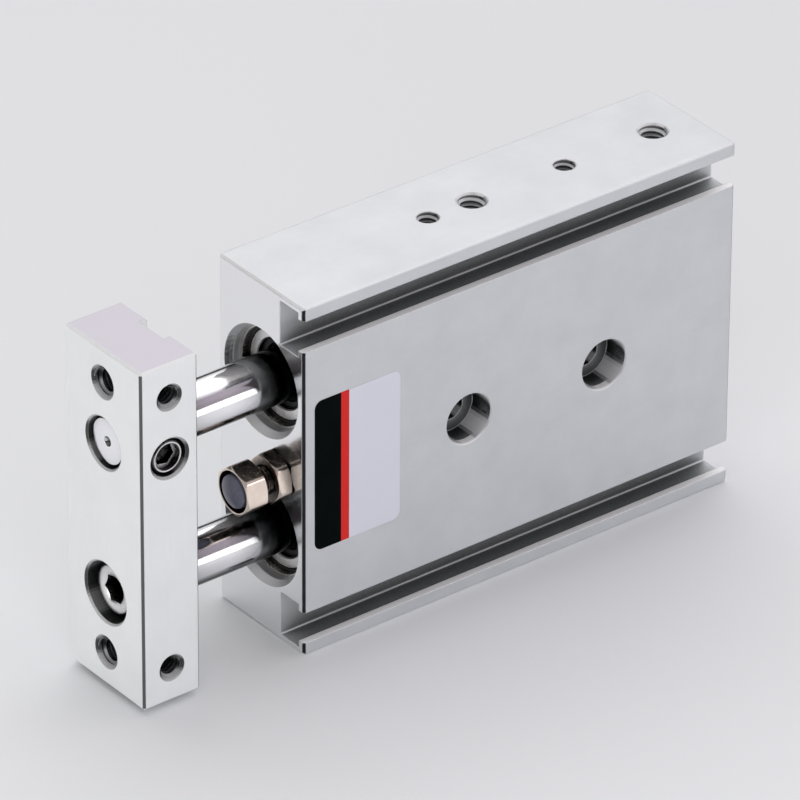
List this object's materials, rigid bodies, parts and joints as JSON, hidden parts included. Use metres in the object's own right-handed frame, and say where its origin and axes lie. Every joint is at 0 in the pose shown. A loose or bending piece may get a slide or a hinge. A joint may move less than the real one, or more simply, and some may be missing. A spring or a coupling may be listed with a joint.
{
  "type": "guided pneumatic cylinder",
  "caption": "Twin-rod guided pneumatic cylinder: flat aluminium housing with sensor slots, end plate on polished rods and an adjustable bumper bolt.",
  "frame": {"origin": "centre of the housing's base, which is the narrow face opposite the air ports", "axes": "+X runs from the plate to the housing along the rods, +Y points away from the slotted wide face, +Z points from the base to the face with the air ports"},
  "size_m": [0.1068, 0.02, 0.058],
  "materials": {
    "clear_anodised_aluminium": "satin, clear anodised, finely brushed",
    "dark_anodised_aluminium": "hard anodised, dark grey",
    "piston_aluminium": "machined",
    "hard_chrome": "hard chrome, polished",
    "plated_steel": "bright zinc plate",
    "nickel_plated_steel": "warm nickel plate",
    "spring_steel": "plain spring steel",
    "nitrile_rubber": "black, matt",
    "magnet": "magnet-filled rubber",
    "urethane": "blue-grey urethane"
  },
  "bodies": {
    "housing_body": {"housing": "clear_anodised_aluminium", "lock_nut": "nickel_plated_steel", "rod_cover_upper": "dark_anodised_aluminium", "cover_o_ring_upper": "nitrile_rubber", "rod_seal_upper": "nitrile_rubber", "seal_retainer_upper": "plated_steel", "front_retaining_ring_upper": "spring_steel", "head_cover_upper": "clear_anodised_aluminium", "head_o_ring_upper": "nitrile_rubber", "rear_retaining_ring_upper": "spring_steel", "rod_cover_lower": "dark_anodised_aluminium", "cover_o_ring_lower": "nitrile_rubber", "rod_seal_lower": "nitrile_rubber", "seal_retainer_lower": "plated_steel", "front_retaining_ring_lower": "spring_steel", "head_cover_lower": "clear_anodised_aluminium", "head_o_ring_lower": "nitrile_rubber", "rear_retaining_ring_lower": "spring_steel"},
    "adjuster_body": {"bumper_bolt": "nickel_plated_steel", "bumper_cushion": "urethane"},
    "plate_body": {"plate": "clear_anodised_aluminium", "piston_rod_upper": "hard_chrome", "piston_rod_lower": "hard_chrome", "plate_cap_screw": "plated_steel", "plate_set_screw": "plated_steel", "piston_upper": "piston_aluminium", "piston_seal_upper": "nitrile_rubber", "piston_magnet_upper": "magnet", "bumper_ring_front_upper": "urethane", "bumper_ring_rear_upper": "urethane", "piston_lower": "piston_aluminium", "piston_seal_lower": "nitrile_rubber", "piston_magnet_lower": "magnet", "bumper_ring_front_lower": "urethane", "bumper_ring_rear_lower": "urethane"}
  },
  "joints": [
    {"name": "rod_slide", "type": "slide", "parent": "housing_body", "child": "plate_body", "axis": [1, 0, 0], "range_m": [-0.011, 0.009]},
    {"name": "stroke_adjust", "type": "slide", "parent": "housing_body", "child": "adjuster_body", "axis": [1, 0, 0], "range_m": [0, 0.0019]}
  ]
}
